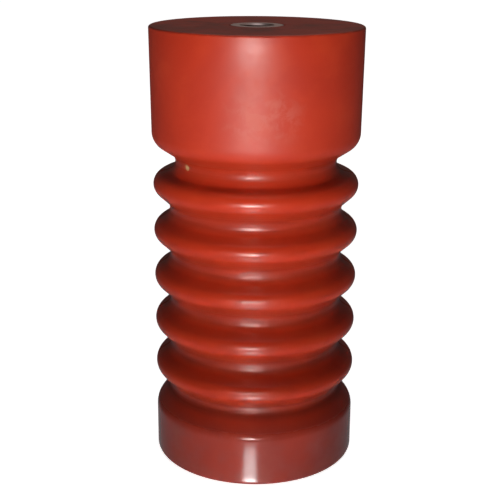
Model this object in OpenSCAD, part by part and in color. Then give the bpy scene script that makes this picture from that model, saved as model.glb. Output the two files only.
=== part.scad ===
// Indoor post insulator for medium-voltage switchgear, cast in red epoxy resin.
// Origin: centre of the base's bottom face. +Z runs up the axis to the terminal face.
// Units: millimetres.

/* [Body] */
// Overall height between the two mounting faces
height = 210; // [206:1:225]
// Diameter of the head at its top edge
head_d = 100; // [99:0.5:104]
// Diameter of the head just above its lower corner, smaller by the mould's draft
head_low_d = 98.8; // [98:0.1:99]
// Diameter over the sheds
shed_d = 98; // [95:0.5:100]
// Diameter of the base
base_d = 98; // [95:0.5:100]
// Diameter at the bottom of the grooves between the sheds
neck_d = 82.6; // [80:0.2:86]
// Diameter at the bottom of the groove under the head
head_neck_d = 76.8; // [74:0.2:82]
// Diameter at the bottom of the groove over the base
base_neck_d = 84.4; // [83:0.2:86]

/* [Sheds] */
// Distance from one shed to the next
shed_pitch = 22.5; // [22.3:0.1:23]
// Height of the lowest shed's crest above the base
first_shed_z = 46; // [45.5:0.5:48]
// Radius of a shed's rounded crest
shed_round = 5.4; // [4.6:0.1:5.6]
// Radius at the bottom of a groove
groove_round = 5.3; // [4.4:0.1:5.5]
// Radius at the bottom of the groove under the head
head_groove_round = 5; // [4:0.1:5.2]
// Radius at the bottom of the groove over the base
base_groove_round = 4; // [3.4:0.1:4.4]
// How far a groove's bottom lies below the middle between two crests
groove_drop = 0.5; // [0:0.1:0.6]

/* [Corners] */
// Radius of the head's lower corner
head_corner = 8; // [6:0.5:9]
// Height from the top shed's crest to the start of the head's straight wall
head_wall_rise = 25; // [24:0.5:27]
// Radius of the base's upper corner
base_corner = 7.5; // [3:0.5:9]
// Height of the base's straight wall
base_wall = 22.5; // [20:0.5:26]
// Height of the groove over the base
base_groove_z = 35.5; // [35:0.1:36]
// Radius of the edge round the bottom face
bottom_edge = 2.2; // [0.5:0.1:3]
// Radius of the edge round the top face
top_edge = 1; // [0.5:0.1:2]

/* [Terminal inserts] */
// Diameter of the insert's exposed face
insert_d = 25; // [24:0.5:28]
// Core diameter of the M16 thread
thread_core_d = 13.84; // [13.6:0.02:14.2]
// Depth of the full M16 thread
thread_depth = 26; // [20:1:27]

/* [Anchor inserts] */
// Distance between the two anchor inserts in the base
anchor_spacing = 46; // [46:1:64]
// Core diameter of the M10 thread
anchor_core_d = 8.38; // [8.2:0.02:8.8]
// Depth of the full M10 thread
anchor_depth = 17; // [12:1:18]

/* [Grading rings] */
// Diameter of the head's grading ring, to the middle of its rod
head_ring_d = 60; // [56:1:64]
// Diameter of the base's grading ring, to the middle of its rod
base_ring_d = 52; // [50:1:56]
// Diameter of the rod that both rings are bent from
ring_rod_d = 7; // [5:0.5:8]

/* [Hidden] */
$fn = 96;

resin_red = [0.62, 0.12, 0.07];
insert_grey = [0.74, 0.74, 0.72];
ring_grey = [0.80, 0.80, 0.80];
zinc_grey = [0.66, 0.67, 0.66];

shed_count = 5;
arc_steps = 8;

// Heights of the shed crests and of the grooves: one groove under each crest, and one over the last.
crest_z = [for (i = [0 : shed_count - 1]) first_shed_z + i * shed_pitch];
groove_z = [base_groove_z, for (z = crest_z) z + shed_pitch / 2 - groove_drop];
groove_d = [base_neck_d, for (i = [1 : shed_count - 1]) neck_d, head_neck_d];
groove_r = [base_groove_round, for (i = [1 : shed_count - 1]) groove_round, head_groove_round];
head_wall_z = crest_z[shed_count - 1] + head_wall_rise;

// Insert: a head at the face, then two waists and two collars that the resin grips, then a stud for the ring.
insert_head = 7;
insert_waist_d = 21;
waist_len = 5;
collar_len = 8;
collar_corner_d = 30;
round_collar_d = 28;
round_collar_len = 9;
hex_start = insert_head + waist_len;
round_start = hex_start + collar_len + waist_len;
insert_len = round_start + round_collar_len;
stud_d = 12;
stud_len = 16;
mouth_chamfer = 1.2;
drill_tip = 0.3;

// Clamped on the stud: the ring's spider, then a washer and a nut.
spider_t = 2.5;
spider_hub_d = 24;
spider_arm_w = 9;
spider_arms = 3;
washer_d = 22;
washer_t = 1.5;
nut_corner_d = 21.9;
nut_len = 10;
ring_depth = insert_len + 14;

// Anchor insert, measured from the face inwards.
anchor_d = 14;
anchor_head = 4;
anchor_waist_d = 11.5;
anchor_waist = 5;
anchor_collar_corner_d = 15.4;
anchor_len = 24;
anchor_chamfer = 0.8;

// Points of an arc round c, from angle a to angle b.
function arc(c, r, a, b) =
    [for (i = [0 : arc_steps]) let (t = a + (b - a) * i / arc_steps) c + r * [cos(t), sin(t)]];

// Tilt of the straight flank that touches a crest arc (c1, r1) and a groove arc (c2, r2).
function flank(c1, r1, c2, r2) =
    let (d = c2 - c1) atan2(abs(d.y), d.x) - acos((r1 + r2) / norm(d));

// Centres of the crest and groove arcs, as [radius, height].
crest_c = [for (z = crest_z) [shed_d / 2 - shed_round, z]];
groove_c = [for (i = [0 : shed_count]) [groove_d[i] / 2 + groove_r[i], groove_z[i]]];
base_corner_c = [base_d / 2 - base_corner, base_wall];
head_corner_c = [head_low_d / 2 - head_corner, head_wall_z];

// The flanks below and above each groove.
// The lowest groove starts at the base's corner and the highest ends at the head's.
flank_below = [for (i = [0 : shed_count])
    i == 0 ? flank(base_corner_c, base_corner, groove_c[0], groove_r[0])
           : flank(crest_c[i - 1], shed_round, groove_c[i], groove_r[i])];
flank_above = [for (i = [0 : shed_count])
    i == shed_count ? flank(head_corner_c, head_corner, groove_c[i], groove_r[i])
                    : flank(crest_c[i], shed_round, groove_c[i], groove_r[i])];

function groove(i) = arc(groove_c[i], groove_r[i], 180 + flank_below[i], 180 - flank_above[i]);
function crest(i) = arc(crest_c[i], shed_round, -flank_above[i], flank_below[i + 1]);

// Half outline of the resin body, from the bottom of the axis up to its top.
function body_outline() = concat(
    [[0, 0]],
    arc([base_d / 2 - bottom_edge, bottom_edge], bottom_edge, -90, 0),
    arc(base_corner_c, base_corner, 0, flank_below[0]),
    [for (i = [0 : shed_count - 1]) each concat(groove(i), crest(i))],
    groove(shed_count),
    arc(head_corner_c, head_corner, -flank_above[shed_count], 0),
    arc([head_d / 2 - top_edge, height - top_edge], top_edge, 0, 90),
    [[0, height]]);

// The end pieces are drawn with their face at Z = 0 and their depth along -Z, and placed by these two.
module at_top() translate([0, 0, height]) children();
module at_base() mirror([0, 0, 1]) children();

// A cylinder that runs from one depth to a greater one.
module span(from, to, d) translate([0, 0, -to]) cylinder(h = to - from, d = d);
// The same as a hexagon, with d across its corners and two flats facing along X.
module hex_span(from, to, d)
    translate([0, 0, -to]) rotate([0, 0, 30]) cylinder(h = to - from, d = d, $fn = 6);

// A blind tapped hole: the core bore, a chamfered mouth and the drill's cone at its end.
module tapped_hole(core_d, depth, chamfer) {
    span(-1, depth, core_d);
    translate([0, 0, -chamfer]) cylinder(h = chamfer + 0.01, d1 = core_d, d2 = core_d + 2 * chamfer);
    translate([0, 0, -depth - drill_tip * core_d]) cylinder(h = drill_tip * core_d, d1 = 0.4, d2 = core_d);
}

// The insert before its hole is tapped, which is also the pocket that it leaves in the resin.
module insert_blank() {
    span(0, insert_head, insert_d);
    span(insert_head, insert_len, insert_waist_d);
    hex_span(hex_start, hex_start + collar_len, collar_corner_d);
    span(round_start, insert_len, round_collar_d);
    span(insert_len, insert_len + stud_len, stud_d);
}

module terminal_insert() difference() {
    insert_blank();
    tapped_hole(thread_core_d, thread_depth, mouth_chamfer);
}

module ring(ring_d) translate([0, 0, -ring_depth])
    rotate_extrude() translate([ring_d / 2, 0]) circle(d = ring_rod_d);

// Sheet-metal spider: a hub on the stud and three arms that reach out and inwards to the ring.
module spider(ring_d) {
    hub_low = insert_len + spider_t;
    difference() {
        union() {
            span(insert_len, hub_low, spider_hub_d);
            intersection() {
                rotate_extrude() polygon([
                    [spider_hub_d / 2 - 2, -insert_len],
                    [ring_d / 2, -ring_depth + spider_t / 2],
                    [ring_d / 2, -ring_depth - spider_t / 2],
                    [spider_hub_d / 2 - 2, -hub_low]]);
                for (i = [0 : spider_arms - 1])
                    rotate([0, 0, 90 + i * 360 / spider_arms])
                        translate([0, -spider_arm_w / 2, -ring_depth - spider_t])
                            cube([ring_d / 2, spider_arm_w, ring_depth]);
            }
        }
        span(insert_len - 1, ring_depth, stud_d);
        ring(ring_d);
    }
}

module washer() difference() {
    span(insert_len + spider_t, insert_len + spider_t + washer_t, washer_d);
    span(insert_len, insert_len + stud_len, stud_d);
}

module nut() difference() {
    start = insert_len + spider_t + washer_t;
    hex_span(start, start + nut_len, nut_corner_d);
    span(insert_len, insert_len + stud_len, stud_d);
}

// Everything that one end's resin is cast round.
module end_pieces(ring_d) {
    insert_blank();
    spider(ring_d);
    washer();
    nut();
    ring(ring_d);
}

module anchor_blank() {
    span(0, anchor_head, anchor_d);
    span(anchor_head, anchor_len, anchor_waist_d);
    hex_span(anchor_head + anchor_waist, anchor_len, anchor_collar_corner_d);
}

module anchor_insert() difference() {
    anchor_blank();
    tapped_hole(anchor_core_d, anchor_depth, anchor_chamfer);
}

module at_anchor(side) translate([side * anchor_spacing / 2, 0, 0]) at_base() children();

module resin_body() color(resin_red) difference() {
    rotate_extrude() polygon(body_outline());
    at_top() end_pieces(head_ring_d);
    at_base() end_pieces(base_ring_d);
    for (side = [-1, 1]) at_anchor(side) anchor_blank();
}

module top_insert() color(insert_grey) at_top() terminal_insert();
module top_ring_spider() color(zinc_grey) at_top() spider(head_ring_d);
module top_ring_washer() color(zinc_grey) at_top() washer();
module top_ring_nut() color(zinc_grey) at_top() nut();
module top_grading_ring() color(ring_grey) at_top() ring(head_ring_d);

module base_insert() color(insert_grey) at_base() terminal_insert();
module base_ring_spider() color(zinc_grey) at_base() spider(base_ring_d);
module base_ring_washer() color(zinc_grey) at_base() washer();
module base_ring_nut() color(zinc_grey) at_base() nut();
module base_grading_ring() color(ring_grey) at_base() ring(base_ring_d);

module base_anchor_left() color(insert_grey) at_anchor(-1) anchor_insert();
module base_anchor_right() color(insert_grey) at_anchor(1) anchor_insert();

resin_body();
top_insert();
top_ring_spider();
top_ring_washer();
top_ring_nut();
top_grading_ring();
base_insert();
base_ring_spider();
base_ring_washer();
base_ring_nut();
base_grading_ring();
base_anchor_left();
base_anchor_right();
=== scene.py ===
"""Cast-resin post insulator: the visual model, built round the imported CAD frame. Metres, +Z up."""
import math

import bmesh
import bpy
from mathutils import Matrix, Vector


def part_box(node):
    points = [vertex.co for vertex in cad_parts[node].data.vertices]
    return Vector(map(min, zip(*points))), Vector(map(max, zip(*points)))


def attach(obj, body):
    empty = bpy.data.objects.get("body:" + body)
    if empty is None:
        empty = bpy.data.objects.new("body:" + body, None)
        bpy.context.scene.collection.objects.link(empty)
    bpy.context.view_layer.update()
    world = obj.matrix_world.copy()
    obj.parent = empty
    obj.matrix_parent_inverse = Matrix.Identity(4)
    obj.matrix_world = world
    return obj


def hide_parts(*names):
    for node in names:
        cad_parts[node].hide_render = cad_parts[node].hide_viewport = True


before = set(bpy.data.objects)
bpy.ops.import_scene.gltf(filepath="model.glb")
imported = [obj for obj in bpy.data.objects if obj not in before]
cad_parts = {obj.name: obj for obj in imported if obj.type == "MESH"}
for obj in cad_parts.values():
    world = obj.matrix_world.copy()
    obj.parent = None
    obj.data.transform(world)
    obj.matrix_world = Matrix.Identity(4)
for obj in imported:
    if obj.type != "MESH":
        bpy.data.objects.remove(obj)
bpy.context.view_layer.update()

MM = 0.001
TURN = 2 * math.pi

# ------------------------------------------------------------------ sizes, in millimetres
body_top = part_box("resin_body")[1]
HEIGHT = body_top.z / MM
HEAD_R = body_top.x / MM
HEAD_LOW_R = 49.4
SHED_R = 49.0
BASE_R = 49.0
NECK_R = 41.3
HEAD_NECK_R = 38.4
BASE_NECK_R = 42.2
SHED_COUNT = 5
FIRST_SHED_Z = 46.0
SHED_PITCH = 22.5
SHED_ROUND = 5.4
GROOVE_ROUND = 5.3
HEAD_GROOVE_ROUND = 5.0
BASE_GROOVE_ROUND = 4.0
GROOVE_DROP = 0.5
BASE_GROOVE_Z = 35.5
HEAD_CORNER = 8.0
HEAD_WALL_RISE = 25.0
BASE_CORNER = 7.5
BASE_WALL = 22.5
BOTTOM_EDGE = 2.2
TOP_EDGE = 1.0

# Terminal insert, measured from its face inwards: (depth, radius) and hexagon corner radius.
INSERT_R = 12.5
INSERT_HEAD = 7.0
WAIST_R = 10.5
HEX_FROM, HEX_TO, HEX_CORNER_R = 12.0, 20.0, 15.0
COLLAR_FROM, INSERT_LEN, COLLAR_R = 25.0, 34.0, 14.0
STUD_R, STUD_LEN = 6.0, 16.0
HUB_R, HUB_T = 12.0, 2.5
WASHER_R, WASHER_T = 11.0, 1.5
NUT_CORNER_R, NUT_LEN = 10.95, 10.0

# Anchor insert.
ANCHOR_X = 23.0
ANCHOR_R = 7.0
ANCHOR_HEAD = 4.0
ANCHOR_WAIST_R = 5.75
ANCHOR_HEX_FROM, ANCHOR_LEN, ANCHOR_HEX_R = 9.0, 24.0, 7.7

# Threads: core radius, outer radius, pitch, depth of full thread.
M16 = (6.92, 8.0, 2.0, 26.0)
M10 = (4.19, 5.0, 1.5, 17.0)
M12_STUD = (5.1, 6.0, 1.75)


# ------------------------------------------------------------------ outline of the resin body
def arc(centre, radius, start, stop, steps=12):
    """Points of an arc in the (radius, height) plane, angles in degrees."""
    points = []
    for i in range(steps + 1):
        t = math.radians(start + (stop - start) * i / steps)
        points.append((centre[0] + radius * math.cos(t), centre[1] + radius * math.sin(t)))
    return points


def flank(crest, crest_r, groove, groove_r):
    """Tilt of the straight flank that touches a crest's arc and a groove's arc, in degrees."""
    dr, dz = groove[0] - crest[0], groove[1] - crest[1]
    return math.degrees(math.atan2(abs(dz), dr) - math.acos((crest_r + groove_r) / math.hypot(dr, dz)))


def body_outline():
    """The outside, from the bottom face's outer edge up to the top face's outer edge."""
    crests = [(SHED_R - SHED_ROUND, FIRST_SHED_Z + i * SHED_PITCH) for i in range(SHED_COUNT)]
    groove_r = [BASE_GROOVE_ROUND] + [GROOVE_ROUND] * (SHED_COUNT - 1) + [HEAD_GROOVE_ROUND]
    neck_r = [BASE_NECK_R] + [NECK_R] * (SHED_COUNT - 1) + [HEAD_NECK_R]
    groove_z = [BASE_GROOVE_Z] + [c[1] + SHED_PITCH / 2 - GROOVE_DROP for c in crests]
    grooves = [(n + r, z) for n, r, z in zip(neck_r, groove_r, groove_z)]
    base_corner = (BASE_R - BASE_CORNER, BASE_WALL)
    head_corner = (HEAD_LOW_R - HEAD_CORNER, crests[-1][1] + HEAD_WALL_RISE)
    rounds = [base_corner] + crests + [head_corner]
    radii = [BASE_CORNER] + [SHED_ROUND] * SHED_COUNT + [HEAD_CORNER]
    below = [flank(rounds[i], radii[i], g, groove_r[i]) for i, g in enumerate(grooves)]
    above = [flank(rounds[i + 1], radii[i + 1], g, groove_r[i]) for i, g in enumerate(grooves)]

    points = arc((BASE_R - BOTTOM_EDGE, BOTTOM_EDGE), BOTTOM_EDGE, -90, 0, 6)
    points += [(BASE_R, BOTTOM_EDGE + (BASE_WALL - BOTTOM_EDGE) * k / 5) for k in range(1, 5)]
    points += arc(base_corner, BASE_CORNER, 0, below[0])
    for i, g in enumerate(grooves):
        points += arc(g, groove_r[i], 180 + below[i], 180 - above[i])
        if i < SHED_COUNT:
            points += arc(crests[i], SHED_ROUND, -above[i], below[i + 1])
    points += arc(head_corner, HEAD_CORNER, -above[-1], 0)
    wall = HEIGHT - TOP_EDGE - head_corner[1]
    for k in range(1, 9):
        u = k / 9
        points.append((HEAD_LOW_R + (HEAD_R - HEAD_LOW_R) * u, head_corner[1] + wall * u))
    points += arc((HEAD_R - TOP_EDGE, HEIGHT - TOP_EDGE), TOP_EDGE, 0, 90, 6)
    return points


# ------------------------------------------------------------------ mesh helpers
SEAM_OFFSETS = (0.22, 0.45, 0.8, 1.15)


def body_angles():
    """Angles of the body's columns, in degrees, with extra ones beside the two mould seams."""
    angles = {1.5 * i for i in range(240)}
    for seam in (0, 180):
        for off in SEAM_OFFSETS:
            angles |= {(seam + off) % 360, (seam - off) % 360}
    return sorted(angles)


def hexagon(corner_r):
    """Radius of a hexagon at an angle, with flats facing along X."""
    apothem = corner_r * math.cos(math.pi / 6)
    return lambda a: apothem / math.cos((a + 30) % 60 * math.pi / 180 - math.pi / 6)


def circle(radius):
    return lambda a: radius


def ring(bm, angles, radius, z, centre=(0, 0)):
    """One loop of vertices. radius is a function of the angle, sizes are millimetres."""
    loop = []
    for a in angles:
        r, t = radius(a), math.radians(a)
        loop.append(bm.verts.new(((centre[0] + r * math.cos(t)) * MM,
                                  (centre[1] + r * math.sin(t)) * MM, z * MM)))
    return loop


def skin(bm, loops):
    """Quads between each loop and the next."""
    for lower, upper in zip(loops, loops[1:]):
        for i in range(len(lower)):
            j = (i + 1) % len(lower)
            bm.faces.new((lower[i], lower[j], upper[j], upper[i]))


def cap(bm, loop, z, centre=(0, 0)):
    """Closes a loop with a fan of triangles round its centre."""
    middle = bm.verts.new((centre[0] * MM, centre[1] * MM, z * MM))
    for i in range(len(loop)):
        bm.faces.new((loop[i], loop[(i + 1) % len(loop)], middle))


def edges_of(loop):
    found = []
    for i, v in enumerate(loop):
        w = loop[(i + 1) % len(loop)]
        found.append(next(e for e in v.link_edges if e.other_vert(v) is w))
    return found


def finish_mesh(bm, name, material, replaces, sharp_degrees=32):
    """Turns the bmesh into a smooth-shaded piece that stands for a CAD node."""
    bmesh.ops.recalc_face_normals(bm, faces=bm.faces)
    limit = math.radians(sharp_degrees)
    for face in bm.faces:
        face.smooth = True
    for edge in bm.edges:
        if len(edge.link_faces) == 2 and edge.calc_face_angle(0) > limit:
            edge.smooth = False
    mesh = bpy.data.meshes.new(name)
    bm.to_mesh(mesh)
    bm.free()
    obj = bpy.data.objects.new(name, mesh)
    bpy.context.scene.collection.objects.link(obj)
    obj.data.materials.append(material)
    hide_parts(replaces)
    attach(obj, "root")
    return obj


def smoothstep(lo, hi, x):
    u = min(1, max(0, (x - lo) / (hi - lo)))
    return u * u * (3 - 2 * u)


# ------------------------------------------------------------------ materials
class Nodes:
    """A small helper that adds shader nodes and links them."""

    def __init__(self, name):
        self.material = bpy.data.materials.new(name)
        self.material.use_nodes = True
        self.tree = self.material.node_tree
        self.shader = self.tree.nodes["Principled BSDF"]
        self.coords = self.add("ShaderNodeTexCoord").outputs["Object"]

    def add(self, kind, **settings):
        node = self.tree.nodes.new(kind)
        for key, value in settings.items():
            setattr(node, key, value)
        return node

    def link(self, value, socket):
        if isinstance(value, bpy.types.NodeSocket):
            self.tree.links.new(value, socket)
        else:
            socket.default_value = value

    def math(self, operation, *values, clamp=False):
        node = self.add("ShaderNodeMath", operation=operation, use_clamp=clamp)
        for value, socket in zip(values, node.inputs):
            self.link(value, socket)
        return node.outputs[0]

    def noise(self, scale, detail=3, roughness=0.5, vector=None, distortion=0.0):
        node = self.add("ShaderNodeTexNoise")
        node.inputs["Scale"].default_value = scale
        node.inputs["Detail"].default_value = detail
        node.inputs["Roughness"].default_value = roughness
        node.inputs["Distortion"].default_value = distortion
        self.link(vector or self.coords, node.inputs["Vector"])
        return node.outputs["Fac"]

    def scaled(self, factors, vector=None):
        """The coordinates multiplied by (x, y, z)."""
        node = self.add("ShaderNodeVectorMath", operation="MULTIPLY")
        self.link(vector or self.coords, node.inputs[0])
        node.inputs[1].default_value = factors
        return node.outputs[0]

    def remap(self, value, lo, hi, out_lo=0.0, out_hi=1.0):
        node = self.add("ShaderNodeMapRange", interpolation_type="SMOOTHSTEP")
        for v, key in ((value, "Value"), (lo, "From Min"), (hi, "From Max"),
                       (out_lo, "To Min"), (out_hi, "To Max")):
            self.link(v, node.inputs[key])
        return node.outputs["Result"]

    def mix(self, factor, a, b, blend="MIX"):
        node = self.add("ShaderNodeMix", data_type="RGBA", blend_type=blend)
        self.link(factor, node.inputs["Factor"])
        for value, key in ((a, 6), (b, 7)):
            self.link(value if isinstance(value, bpy.types.NodeSocket) else (*value, 1), node.inputs[key])
        return node.outputs[2]

    def bump(self, height, strength, distance, normal=None):
        node = self.add("ShaderNodeBump")
        node.inputs["Strength"].default_value = strength
        node.inputs["Distance"].default_value = distance
        self.link(height, node.inputs["Height"])
        if normal:
            self.link(normal, node.inputs["Normal"])
        return node.outputs["Normal"]

    def set(self, **values):
        for key, value in values.items():
            self.link(value, self.shader.inputs[key.replace("_", " ")])


RESIN_MID = (0.45, 0.031, 0.009)
RESIN_DEEP = (0.39, 0.024, 0.007)
RESIN_PALE = (0.50, 0.046, 0.014)
DUST = (0.62, 0.30, 0.24)
# Near-black for the painted shade in the grooves and under the sheds, and for the brown stains on the top
# face.
SHADE_AND_STAIN_DARK = (0.030, 0.012, 0.008)
# Grey of the dust on the base, also used there as painted shade.
BASE_DUST_AND_SHADE = (0.125, 0.105, 0.105)
SEALER = (0.62, 0.46, 0.20)


def resin_material():
    n = Nodes("cast_resin_red")
    xyz = n.add("ShaderNodeSeparateXYZ")
    n.link(n.coords, xyz.inputs[0])
    y, z = xyz.outputs["Y"], xyz.outputs["Z"]

    clouds = n.noise(18, 4, 0.55, distortion=0.6)
    patches = n.noise(70, 3, 0.5)
    filler = n.noise(900, 2, 0.5)
    colour = n.mix(n.remap(clouds, 0.35, 0.68), RESIN_MID, RESIN_DEEP)
    colour = n.mix(n.math("MULTIPLY", n.remap(patches, 0.5, 0.72), 0.35), colour, RESIN_PALE)
    colour = n.mix(n.math("MULTIPLY", n.remap(filler, 0.58, 0.75), 0.12), colour, RESIN_PALE)

    # Seam where the two mould halves meet: trimmed by hand, so it is dull and finely scratched.
    wall = n.math("MULTIPLY", n.remap(z, 0.0006, 0.0016), n.remap(z, 0.2088, 0.2096, 1, 0))
    seam = n.math("MULTIPLY", wall, n.remap(n.math("ABSOLUTE", y), 0.0009, 0.0016, 1, 0))
    scratches = n.noise(900, 2, 0.5, n.scaled((1, 1, 0.08)))

    # Handling left a dull, slightly dusty patch on the front of the head.
    away = n.add("ShaderNodeVectorMath", operation="DISTANCE")
    n.link(n.scaled((1, 1, 1.5)), away.inputs[0])
    away.inputs[1].default_value = (0.003, -0.0495, 0.175 * 1.5)
    blotch = n.noise(150, 5, 0.62, distortion=0.4)
    inside = n.remap(away.outputs["Value"], 0.008, 0.024, 1, 0)
    scuff = n.math("MULTIPLY", inside, n.remap(blotch, 0.42, 0.62))
    colour = n.mix(n.math("MULTIPLY", scuff, 0.15), colour, DUST)

    smears = n.remap(n.noise(34, 4, 0.6, n.scaled((1, 1, 0.55)), 0.8), 0.5, 0.75)
    # The head is dulled by handling, most of all below its rim. The base wall keeps its gloss.
    gloss = n.math("ADD", n.remap(z, 0.148, 0.162, 0, 0.23), n.remap(z, 0.0252, 0.0268, 0.15, 0.29))
    gloss = n.math("SUBTRACT", gloss, n.remap(z, 0.190, 0.206, 0, 0.11))
    roughness = n.math("ADD", gloss, n.math("MULTIPLY", smears, 0.06))
    roughness = n.math("ADD", roughness, n.math("MULTIPLY", scuff, 0.05))

    # Painted shade: the colour is darkened in the grooves and on the undersides of the sheds, more towards
    # the base.
    turn = n.math("FRACT", n.math("DIVIDE", n.math("SUBTRACT", z, FIRST_SHED_Z * MM), SHED_PITCH * MM))
    hollow = n.math("MULTIPLY", n.remap(turn, 0.29, 0.43), n.remap(turn, 0.64, 0.95, 1, 0))
    ribs = n.math("MULTIPLY", n.remap(z, 0.026, 0.030), n.remap(z, 0.1555, 0.158, 1, 0))
    depth = n.math("MULTIPLY_ADD", z, -1.7, 0.47)
    uneven_shade = n.remap(n.noise(60, 4, 0.6, n.scaled((1, 1, 0.5))), 0.3, 0.7, 0.82, 1.12)
    painted_groove_shade = n.math("MULTIPLY", n.math("MULTIPLY", hollow, ribs), n.math("MULTIPLY", depth, uneven_shade))
    colour = n.mix(painted_groove_shade, colour, SHADE_AND_STAIN_DARK)
    roughness = n.math("MULTIPLY_ADD", painted_groove_shade, 0.15, roughness)
    # Fine grey dust on the base, darker towards the bottom; it also darkens the base as painted shade.
    base_dust_and_shade = n.math("MULTIPLY", n.remap(z, 0.020, 0.034, 0.28, 0), n.remap(patches, 0.3, 0.7, 0.7, 1.2))
    colour = n.mix(base_dust_and_shade, colour, BASE_DUST_AND_SHADE)
    roughness = n.math("MULTIPLY_ADD", base_dust_and_shade, 0.05, roughness)
    # Brown stains on the top face.
    cloudy = n.remap(n.noise(30, 4, 0.6), 0.40, 0.65, 0, 0.55)
    stains = n.math("MULTIPLY", n.remap(z, 0.2090, 0.2098), cloudy)
    colour = n.mix(stains, colour, SHADE_AND_STAIN_DARK)

    # A speck of pale sealer left in the groove below the head.
    near = n.add("ShaderNodeVectorMath", operation="DISTANCE")
    n.link(n.coords, near.inputs[0])
    near.inputs[1].default_value = (-0.0313, -0.0223, 0.1475)
    speck = n.remap(n.math("MULTIPLY_ADD", blotch, -0.0012, near.outputs["Value"]), 0.0004, 0.0011, 0.85, 0)
    colour = n.mix(speck, colour, SEALER)

    roughness = n.math("ADD", roughness, n.remap(n.noise(260, 2), 0.45, 0.7, 0, 0.04))
    scratched = n.math("MULTIPLY", seam, scratches)
    roughness = n.math("MULTIPLY_ADD", scratched, 0.4, roughness, clamp=True)

    peel = n.bump(n.noise(330, 2, 0.5), 0.08, 0.0002)
    fine = n.bump(n.noise(1400, 2, 0.5), 0.04, 0.00004, peel)
    marks = n.bump(scratched, 0.4, 0.00006, fine)
    # Faint rings that the turned mould left in the grooves.
    wobble = n.math("MULTIPLY", patches, 2)
    rings = n.math("SINE", n.math("MULTIPLY_ADD", z, TURN / (1.3 * MM), wobble))
    marks = n.bump(n.math("MULTIPLY", rings, n.math("MULTIPLY", hollow, ribs)), 0.35, 0.00003, marks)
    n.set(Base_Color=colour, Roughness=roughness, Normal=marks)
    n.shader.inputs["IOR"].default_value = 1.47
    return n.material


def metal_material(name, base, stain, roughness, turned=0.0):
    """Plated or plain metal, with turning marks, blotches and a little tarnish."""
    n = Nodes(name)
    blotches = n.remap(n.noise(220, 4, 0.6, distortion=0.5), 0.45, 0.75)
    grain = n.noise(1500, 2)
    colour = n.mix(n.math("MULTIPLY", blotches, 0.6), base, stain)
    rough = n.math("ADD", roughness, n.math("MULTIPLY", n.math("ADD", blotches, grain), 0.12))
    if turned:
        wave = n.add("ShaderNodeTexWave", wave_type="RINGS", rings_direction="Z")
        wave.inputs["Scale"].default_value = turned
        wave.inputs["Distortion"].default_value = 0.6
        n.link(n.coords, wave.inputs["Vector"])
        height = n.math("ADD", wave.outputs["Fac"], n.math("MULTIPLY", grain, 0.6))
    else:
        height = grain
    n.set(Base_Color=colour, Roughness=rough, Normal=n.bump(height, 0.25, 0.00005), Metallic=1.0)
    return n.material


resin = resin_material()
insert_metal = metal_material("plated_insert_steel", (0.60, 0.51, 0.50), (0.40, 0.28, 0.26), 0.34, 450)
zinc = metal_material("zinc_plate", (0.60, 0.61, 0.60), (0.42, 0.40, 0.34), 0.32)
rod = metal_material("drawn_aluminium", (0.78, 0.78, 0.79), (0.60, 0.59, 0.57), 0.30)


# ------------------------------------------------------------------ resin body
def seam_depth(angle, radius, z):
    """How far the trimmed mould seam lies below the surface, in millimetres."""
    off = min(abs((angle + 90) % 180 - 90), 90) * math.pi / 180 * radius
    ground = 0.05 * smoothstep(1.1, 0.6, off)
    wander = 0.6 + 0.4 * math.sin(z * 0.37) * math.sin(z * 0.113 + 1)
    left = 0.05 * wander * smoothstep(0.3, 0.0, off)
    proud = 0.10 * wander * smoothstep(0.3, 0.0, off) if radius < NECK_R + 3 else 0
    return ground - left - proud


def insert_pocket(sign, face):
    """Loops of the pocket round a terminal insert: (radius function, height) from the face inwards."""
    stations = [(circle(INSERT_R), 0), (circle(INSERT_R), INSERT_HEAD),
                (circle(WAIST_R), INSERT_HEAD), (circle(WAIST_R), HEX_FROM),
                (hexagon(HEX_CORNER_R), HEX_FROM), (hexagon(HEX_CORNER_R), HEX_TO),
                (circle(WAIST_R), HEX_TO), (circle(WAIST_R), COLLAR_FROM),
                (circle(COLLAR_R), COLLAR_FROM), (circle(COLLAR_R), INSERT_LEN)]
    depth = INSERT_LEN
    stud_end = STUD_LEN - HUB_T - WASHER_T - NUT_LEN
    for shape, length in ((circle(HUB_R), HUB_T), (circle(WASHER_R), WASHER_T),
                          (hexagon(NUT_CORNER_R), NUT_LEN), (circle(STUD_R), stud_end)):
        stations += [(shape, depth), (shape, depth + length)]
        depth += length
    return [(shape, face - sign * d) for shape, d in stations], face - sign * depth


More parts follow.
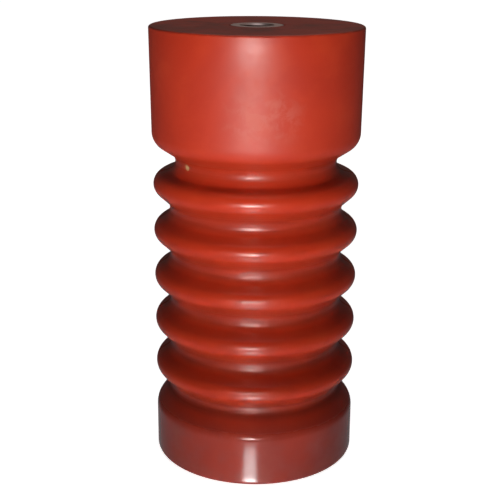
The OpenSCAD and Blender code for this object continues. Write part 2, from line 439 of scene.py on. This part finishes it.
def build_body():
    bm = bmesh.new()
    angles = body_angles()
    outside = []
    for r, z in body_outline():
        outside.append(ring(bm, angles, lambda a, r=r, z=z: r - seam_depth(a, r, z), z))
    # Top face: flat, with a fine witness groove where the resin met the insert.
    top = [ring(bm, angles, circle(r), HEIGHT - drop) for r, drop in
           ((40, 0), (28, 0), (18, 0), (INSERT_R + 0.9, 0), (INSERT_R + 0.6, 0.18), (INSERT_R + 0.3, 0.2))]
    pocket, end = insert_pocket(1, HEIGHT)
    loops = outside + top + [ring(bm, angles, shape, z) for shape, z in pocket]
    skin(bm, loops)
    cap(bm, loops[-1], end)

    pocket, end = insert_pocket(-1, 0)
    lips = [ring(bm, angles, circle(r), lift) for r, lift in
            ((INSERT_R + 0.9, 0), (INSERT_R + 0.6, 0.18), (INSERT_R + 0.3, 0.2))]
    loops = lips + [ring(bm, angles, shape, z) for shape, z in pocket]
    skin(bm, loops)
    cap(bm, loops[-1], end)
    holes = [outside[0], lips[0]]
    few = [7.5 * i for i in range(48)]
    for side in (-1, 1):
        at = (side * ANCHOR_X, 0)
        hex_r = hexagon(ANCHOR_HEX_R)
        loops = [ring(bm, few, shape, depth, at) for shape, depth in
                 ((circle(ANCHOR_R + 0.5), 0), (circle(ANCHOR_R + 0.25), 0.15), (circle(ANCHOR_R), 0.15),
                  (circle(ANCHOR_R), ANCHOR_HEAD),
                  (circle(ANCHOR_WAIST_R), ANCHOR_HEAD), (circle(ANCHOR_WAIST_R), ANCHOR_HEX_FROM),
                  (hex_r, ANCHOR_HEX_FROM), (hex_r, ANCHOR_LEN))]
        skin(bm, loops)
        cap(bm, loops[-1], ANCHOR_LEN, at)
        holes.append(loops[0])
    edges = [e for loop in holes for e in edges_of(loop)]
    bmesh.ops.triangle_fill(bm, use_beauty=True, use_dissolve=False, edges=edges, normal=(0, 0, -1))
    return finish_mesh(bm, "cast_resin_body", resin, "resin_body", 28)


# ------------------------------------------------------------------ threaded inserts
def thread_radius(core_r, outer_r, pitch, angle, depth):
    """Radius of a right-hand 60-degree thread at an angle and a depth from the face."""
    phase = (depth / pitch + angle / 360) % 1
    tooth = abs(phase - 0.5) * 2
    return core_r + (outer_r - core_r) * min(1, max(0, (tooth - 0.12) / 0.76))


def tapped_wall(bm, angles, thread, sign, face, centre=(0, 0), chamfer=1.2):
    """Loops down a tapped blind hole: chamfer, helical thread, plain run-out. Ends in a drill cone."""
    core_r, outer_r, pitch, full = thread
    step = pitch / 12
    mouth_r = core_r + chamfer
    loops = []
    depth = 0.0
    while depth < full - 1e-6:
        fade = smoothstep(full, full - pitch, depth)

        def radius(a, depth=depth, fade=fade):
            cut = thread_radius(core_r, outer_r, pitch, a, depth)
            return max(core_r + (cut - core_r) * fade, mouth_r - depth)

        loops.append(ring(bm, angles, radius, face - sign * depth, centre))
        depth += step
    loops.append(ring(bm, angles, circle(core_r), face - sign * full, centre))
    tip = 0.3 * 2 * core_r
    loops.append(ring(bm, angles, circle(0.2), face - sign * (full + tip), centre))
    skin(bm, loops)
    cap(bm, loops[-1], face - sign * (full + tip), centre)
    return loops[0]


def build_insert(name, node, sign, face):
    bm = bmesh.new()
    angles = [3.75 * i for i in range(96)]
    mouth = tapped_wall(bm, angles, M16, sign, face)
    edge = 0.35
    stations = [(circle(INSERT_R - 2.2), 0), (circle(INSERT_R - edge), 0), (circle(INSERT_R), edge),
                (circle(INSERT_R), INSERT_HEAD),
                (circle(WAIST_R), INSERT_HEAD), (circle(WAIST_R), HEX_FROM),
                (hexagon(HEX_CORNER_R), HEX_FROM), (hexagon(HEX_CORNER_R), HEX_TO),
                (circle(WAIST_R), HEX_TO), (circle(WAIST_R), COLLAR_FROM),
                (circle(COLLAR_R), COLLAR_FROM), (circle(COLLAR_R), INSERT_LEN),
                (circle(STUD_R), INSERT_LEN)]
    core_r, outer_r, pitch = M12_STUD
    steps = int(STUD_LEN / pitch * 12)
    for i in range(1, steps):
        down = STUD_LEN * i / steps
        grip = smoothstep(0, pitch, down) * smoothstep(STUD_LEN, STUD_LEN - 1, down)
        stations.append((lambda a, d=down, g=grip:
                         outer_r - (outer_r - thread_radius(core_r, outer_r, pitch, -a, d)) * g,
                         INSERT_LEN + down))
    stations.append((circle(STUD_R - 0.8), INSERT_LEN + STUD_LEN))
    loops = [mouth] + [ring(bm, angles, shape, face - sign * d) for shape, d in stations]
    skin(bm, loops)
    cap(bm, loops[-1], face - sign * (INSERT_LEN + STUD_LEN))
    return finish_mesh(bm, name, insert_metal, node, 30)


def build_anchor(name, node, x):
    bm = bmesh.new()
    angles = [5 * i for i in range(72)]
    at = (x, 0)
    mouth = tapped_wall(bm, angles, M10, -1, 0, at, 0.8)
    edge = 0.25
    stations = [(circle(ANCHOR_R - edge), 0), (circle(ANCHOR_R), edge), (circle(ANCHOR_R), ANCHOR_HEAD),
                (circle(ANCHOR_WAIST_R), ANCHOR_HEAD), (circle(ANCHOR_WAIST_R), ANCHOR_HEX_FROM),
                (hexagon(ANCHOR_HEX_R), ANCHOR_HEX_FROM), (hexagon(ANCHOR_HEX_R), ANCHOR_LEN)]
    loops = [mouth] + [ring(bm, angles, shape, d, at) for shape, d in stations]
    skin(bm, loops)
    cap(bm, loops[-1], ANCHOR_LEN, at)
    return finish_mesh(bm, name, insert_metal, node, 30)


build_body()
build_insert("top_terminal_insert", "top_insert", 1, HEIGHT)
build_insert("base_terminal_insert", "base_insert", -1, 0)
build_anchor("anchor_insert_left", "base_anchor_left", -ANCHOR_X)
build_anchor("anchor_insert_right", "base_anchor_right", ANCHOR_X)

SEALED_PARTS = (("ring_spider", zinc), ("ring_washer", zinc), ("ring_nut", zinc), ("grading_ring", rod))
for end in ("top", "base"):
    for part, material in SEALED_PARTS:
        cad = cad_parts[f"{end}_{part}"]
        cad.data.materials.clear()
        cad.data.materials.append(material)


# ------------------------------------------------------------------ floor, light, camera
def floor():
    bm = bmesh.new()
    bmesh.ops.create_grid(bm, x_segments=1, y_segments=1, size=6.0)
    mesh = bpy.data.meshes.new("floor")
    bm.to_mesh(mesh)
    bm.free()
    obj = bpy.data.objects.new("floor", mesh)
    bpy.context.scene.collection.objects.link(obj)
    n = Nodes("floor_paper")
    n.set(Base_Color=(0.80, 0.80, 0.80, 1), Roughness=0.9)
    n.shader.inputs["Emission Color"].default_value = (1, 1, 1, 1)
    n.shader.inputs["Emission Strength"].default_value = 0.95
    obj.data.materials.append(n.material)
    obj.visible_glossy = False
    obj.visible_diffuse = False
    obj.visible_shadow = False


def area_light(name, azimuth, elevation, distance, width, height, power, target=(0, 0, 0.105), spread=180):
    """A soft panel aimed at target. Azimuth 0 is in front of the object, positive to its right."""
    a, e = math.radians(azimuth), math.radians(elevation)
    back = Vector((math.sin(a) * math.cos(e), -math.cos(a) * math.cos(e), math.sin(e)))
    data = bpy.data.lights.new(name, "AREA")
    data.shape = "RECTANGLE"
    data.size, data.size_y = width, height
    data.energy = power
    data.spread = math.radians(spread)
    obj = bpy.data.objects.new(name, data)
    obj.location = Vector(target) + back * distance
    obj.rotation_euler = (-back).to_track_quat("-Z", "Y").to_euler()
    obj.visible_camera = False
    bpy.context.scene.collection.objects.link(obj)
    return obj


def world_light():
    """White to the camera. To the object it is dim warm grey, with a ceiling light straight above."""
    world = bpy.data.worlds.new("studio")
    bpy.context.scene.world = world
    world.use_nodes = True
    nodes, links = world.node_tree.nodes, world.node_tree.links
    nodes.clear()
    out = nodes.new("ShaderNodeOutputWorld")
    mix = nodes.new("ShaderNodeMixShader")
    path = nodes.new("ShaderNodeLightPath")
    seen = nodes.new("ShaderNodeBackground")
    seen.inputs["Color"].default_value = (1, 1, 1, 1)
    dim = nodes.new("ShaderNodeBackground")
    ramp = nodes.new("ShaderNodeValToRGB")
    coords = nodes.new("ShaderNodeTexCoord")
    split = nodes.new("ShaderNodeSeparateXYZ")
    links.new(coords.outputs["Generated"], split.inputs[0])
    rise = nodes.new("ShaderNodeMapRange")
    rise.inputs["From Min"].default_value = -1
    links.new(split.outputs["Z"], rise.inputs["Value"])
    links.new(rise.outputs["Result"], ramp.inputs["Fac"])
    stops = ramp.color_ramp.elements
    stops[0].position, stops[0].color = 0.30, (0.20, 0.205, 0.215, 1)
    stops[1].position, stops[1].color = 0.43, (0.030, 0.027, 0.029, 1)
    for position, colour in ((0.50, (0.055, 0.046, 0.042, 1)), (0.56, (0.085, 0.070, 0.062, 1)),
                             (0.68, (0.030, 0.026, 0.024, 1)), (0.955, (0.030, 0.026, 0.024, 1)),
                             (0.99, (0.95, 0.88, 0.88, 1))):
        stops.new(position).color = colour
    links.new(ramp.outputs["Color"], dim.inputs["Color"])
    links.new(path.outputs["Is Camera Ray"], mix.inputs["Fac"])
    links.new(dim.outputs[0], mix.inputs[1])
    links.new(seen.outputs[0], mix.inputs[2])
    links.new(mix.outputs[0], out.inputs["Surface"])


floor()
world_light()
# A gridded softbox at the height of the head, so its light fades towards the base. A low one does
# the reverse, and shifts the highlights of the lower sheds down.
front = area_light("front_softbox", -4.5, -7, 1.0, 0.22, 0.13, 0.218, (0, 0, 0.180), 22)
front.data.color = (1.0, 0.965, 0.93)
area_light("low_softbox", -4.6, -39, 1.0, 0.16, 0.08, 0.026, (0, -0.049, 0.030), 14)
# Light thrown up by the table in front, and a small bright patch of it that the base mirrors.
area_light("table_bounce", 0, -50, 1.0, 0.60, 0.40, 0.4)
area_light("low_glint", -4.4, -33, 0.072, 0.021, 0.036, 0.025, (-0.0018, -0.049, 0.0085))
back = area_light("back_fill", 170, 55, 1.4, 1.0, 0.8, 2.7)
back.data.color = (1.0, 0.80, 0.70)

CAMERA_DISTANCE = 0.5083
CAMERA_HEIGHT = 0.2555
CAMERA_PITCH = 16.83
CAMERA_ROLL = 0.338
FOCAL_PIXELS = 1086.2
AXIS_OFFSET_PIXELS = 5.6
FRAME_PIXELS = 500
SENSOR = 36.0


def camera():
    data = bpy.data.cameras.new("camera")
    data.sensor_width = SENSOR
    data.lens = FOCAL_PIXELS / FRAME_PIXELS * SENSOR
    data.clip_start, data.clip_end = 0.01, 50
    obj = bpy.data.objects.new("camera", data)
    yaw = math.atan(AXIS_OFFSET_PIXELS / FOCAL_PIXELS)
    aim = (Matrix.Rotation(yaw, 4, "Z") @ Matrix.Rotation(math.radians(90 - CAMERA_PITCH), 4, "X")
           @ Matrix.Rotation(math.radians(CAMERA_ROLL), 4, "Z"))
    obj.matrix_world = Matrix.Translation((0, -CAMERA_DISTANCE, CAMERA_HEIGHT)) @ aim
    bpy.context.scene.collection.objects.link(obj)
    bpy.context.scene.camera = obj


camera()
bpy.context.scene.view_settings.view_transform = "Standard"
bpy.context.scene.view_settings.look = "None"
